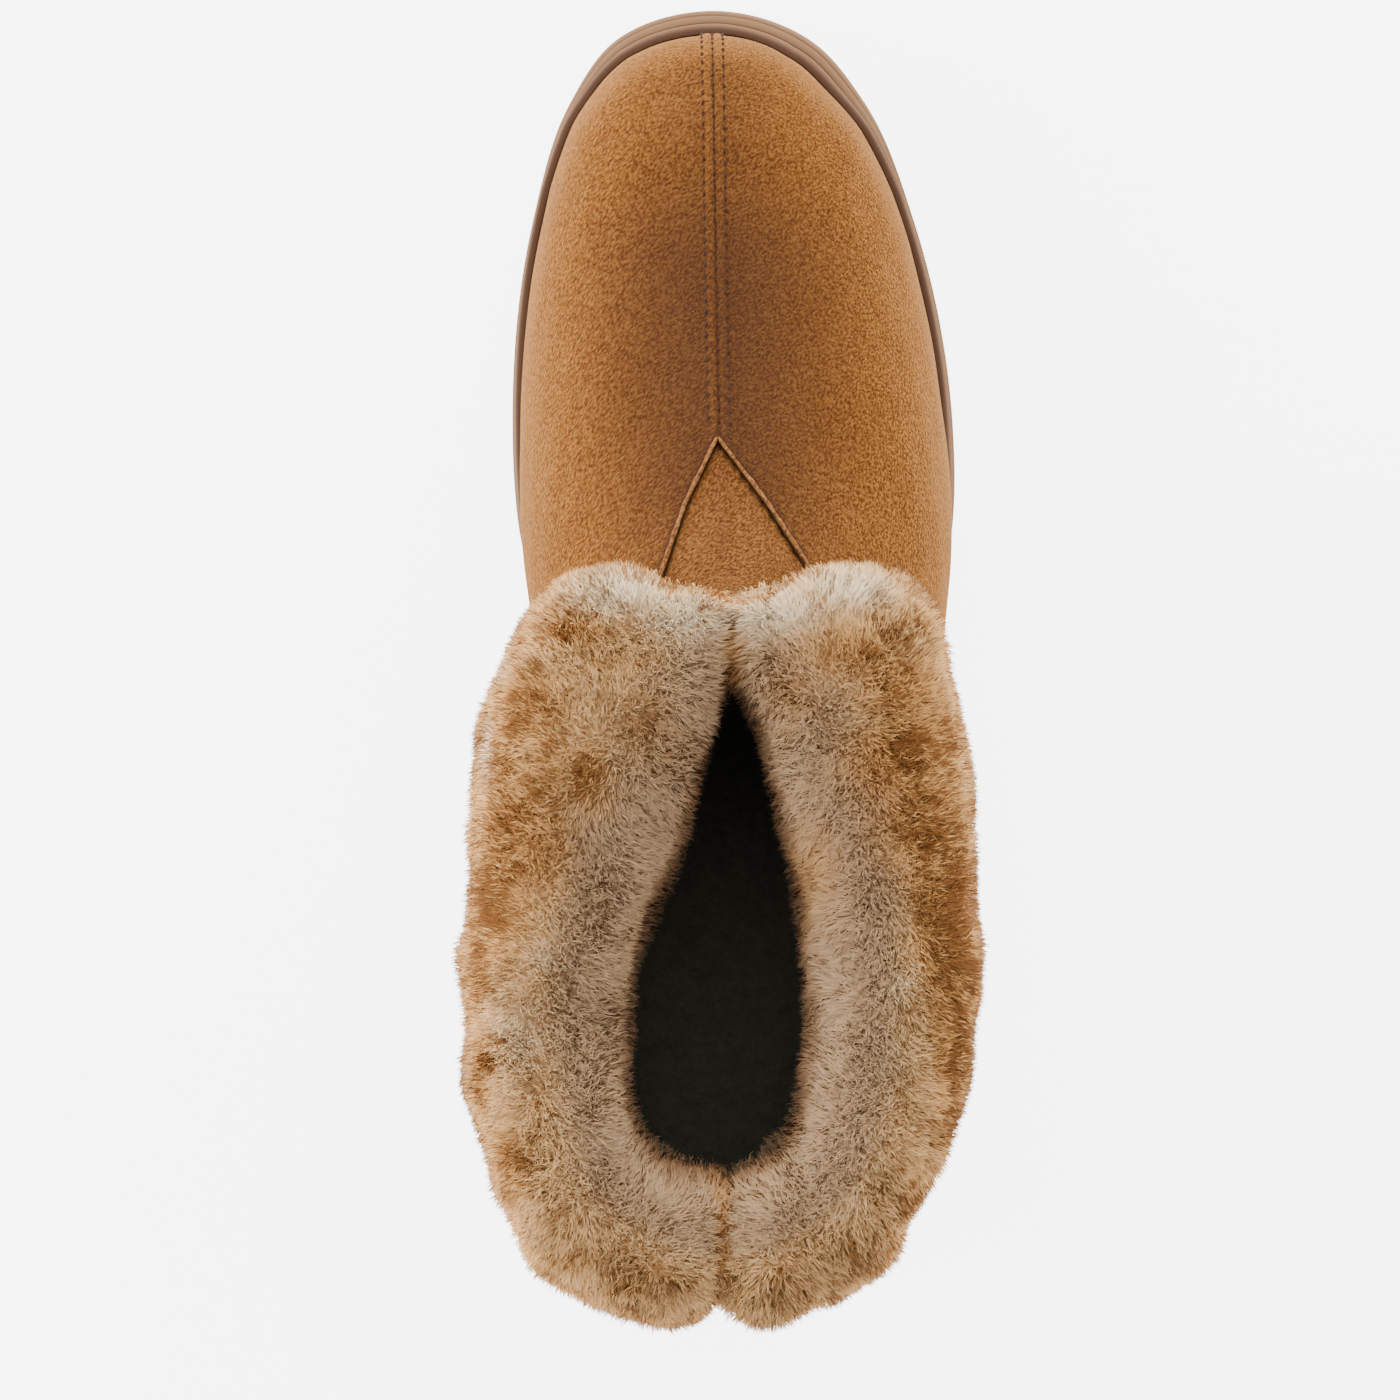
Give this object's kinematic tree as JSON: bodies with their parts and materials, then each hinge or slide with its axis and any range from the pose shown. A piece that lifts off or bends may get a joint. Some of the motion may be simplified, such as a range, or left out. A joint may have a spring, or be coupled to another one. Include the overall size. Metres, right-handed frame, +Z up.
{
  "type": "bootie slipper",
  "caption": "Right-foot suede bootie slipper with a V throat gusset, a deep turned-down shearling cuff, an insole and a ribbed rubber sole.",
  "frame": {"origin": "on the floor, under the middle of the heel, where the sole's heel rests", "axes": "+Y to the toe along the shoe's centre line, +X to the lateral side of this right shoe, +Z up"},
  "size_m": [0.1158, 0.3033, 0.1275],
  "materials": {
    "rubber": "matt moulded taupe rubber",
    "sock": "dark wool pile",
    "suede": "tan suede with a fine nap",
    "gusset_suede": "tan suede with a fine nap",
    "wool": "cream shearling with brown tips"
  },
  "bodies": {
    "root": {"sole": "rubber", "insole": "sock", "upper": "suede", "gusset": "gusset_suede", "cuff": "wool"}
  },
  "joints": []
}
